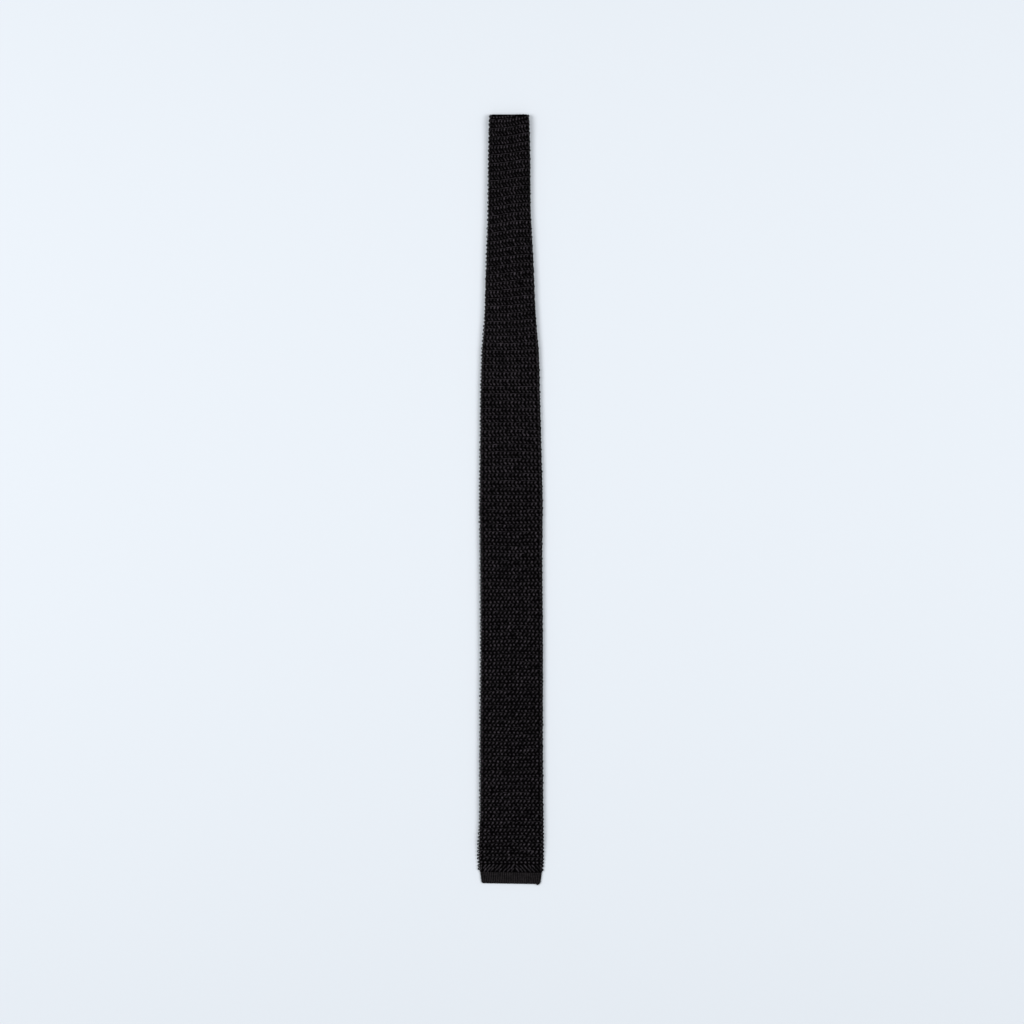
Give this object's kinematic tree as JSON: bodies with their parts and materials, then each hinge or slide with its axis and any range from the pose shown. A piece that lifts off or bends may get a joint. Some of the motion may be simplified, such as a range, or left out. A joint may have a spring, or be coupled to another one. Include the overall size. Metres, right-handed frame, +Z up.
{
  "type": "knit necktie",
  "caption": "Slim square-ended knit necktie lying folded in half, with looped edges and a fine knit band at each end.",
  "frame": {"origin": "on the table, under the middle of the folded tie's bounding box", "axes": "+Y along the tie from the blade's end band to the fold, +X across it to the right as seen from above, +Z up from the table"},
  "size_m": [0.0622, 0.7214, 0.0072],
  "materials": {
    "knit_silk": "coarse matte silk knit",
    "band_silk": "fine matte silk knit"
  },
  "bodies": {
    "root": {"knit_body": "knit_silk", "blade_end_band": "band_silk", "tail_end_band": "band_silk"}
  },
  "joints": []
}
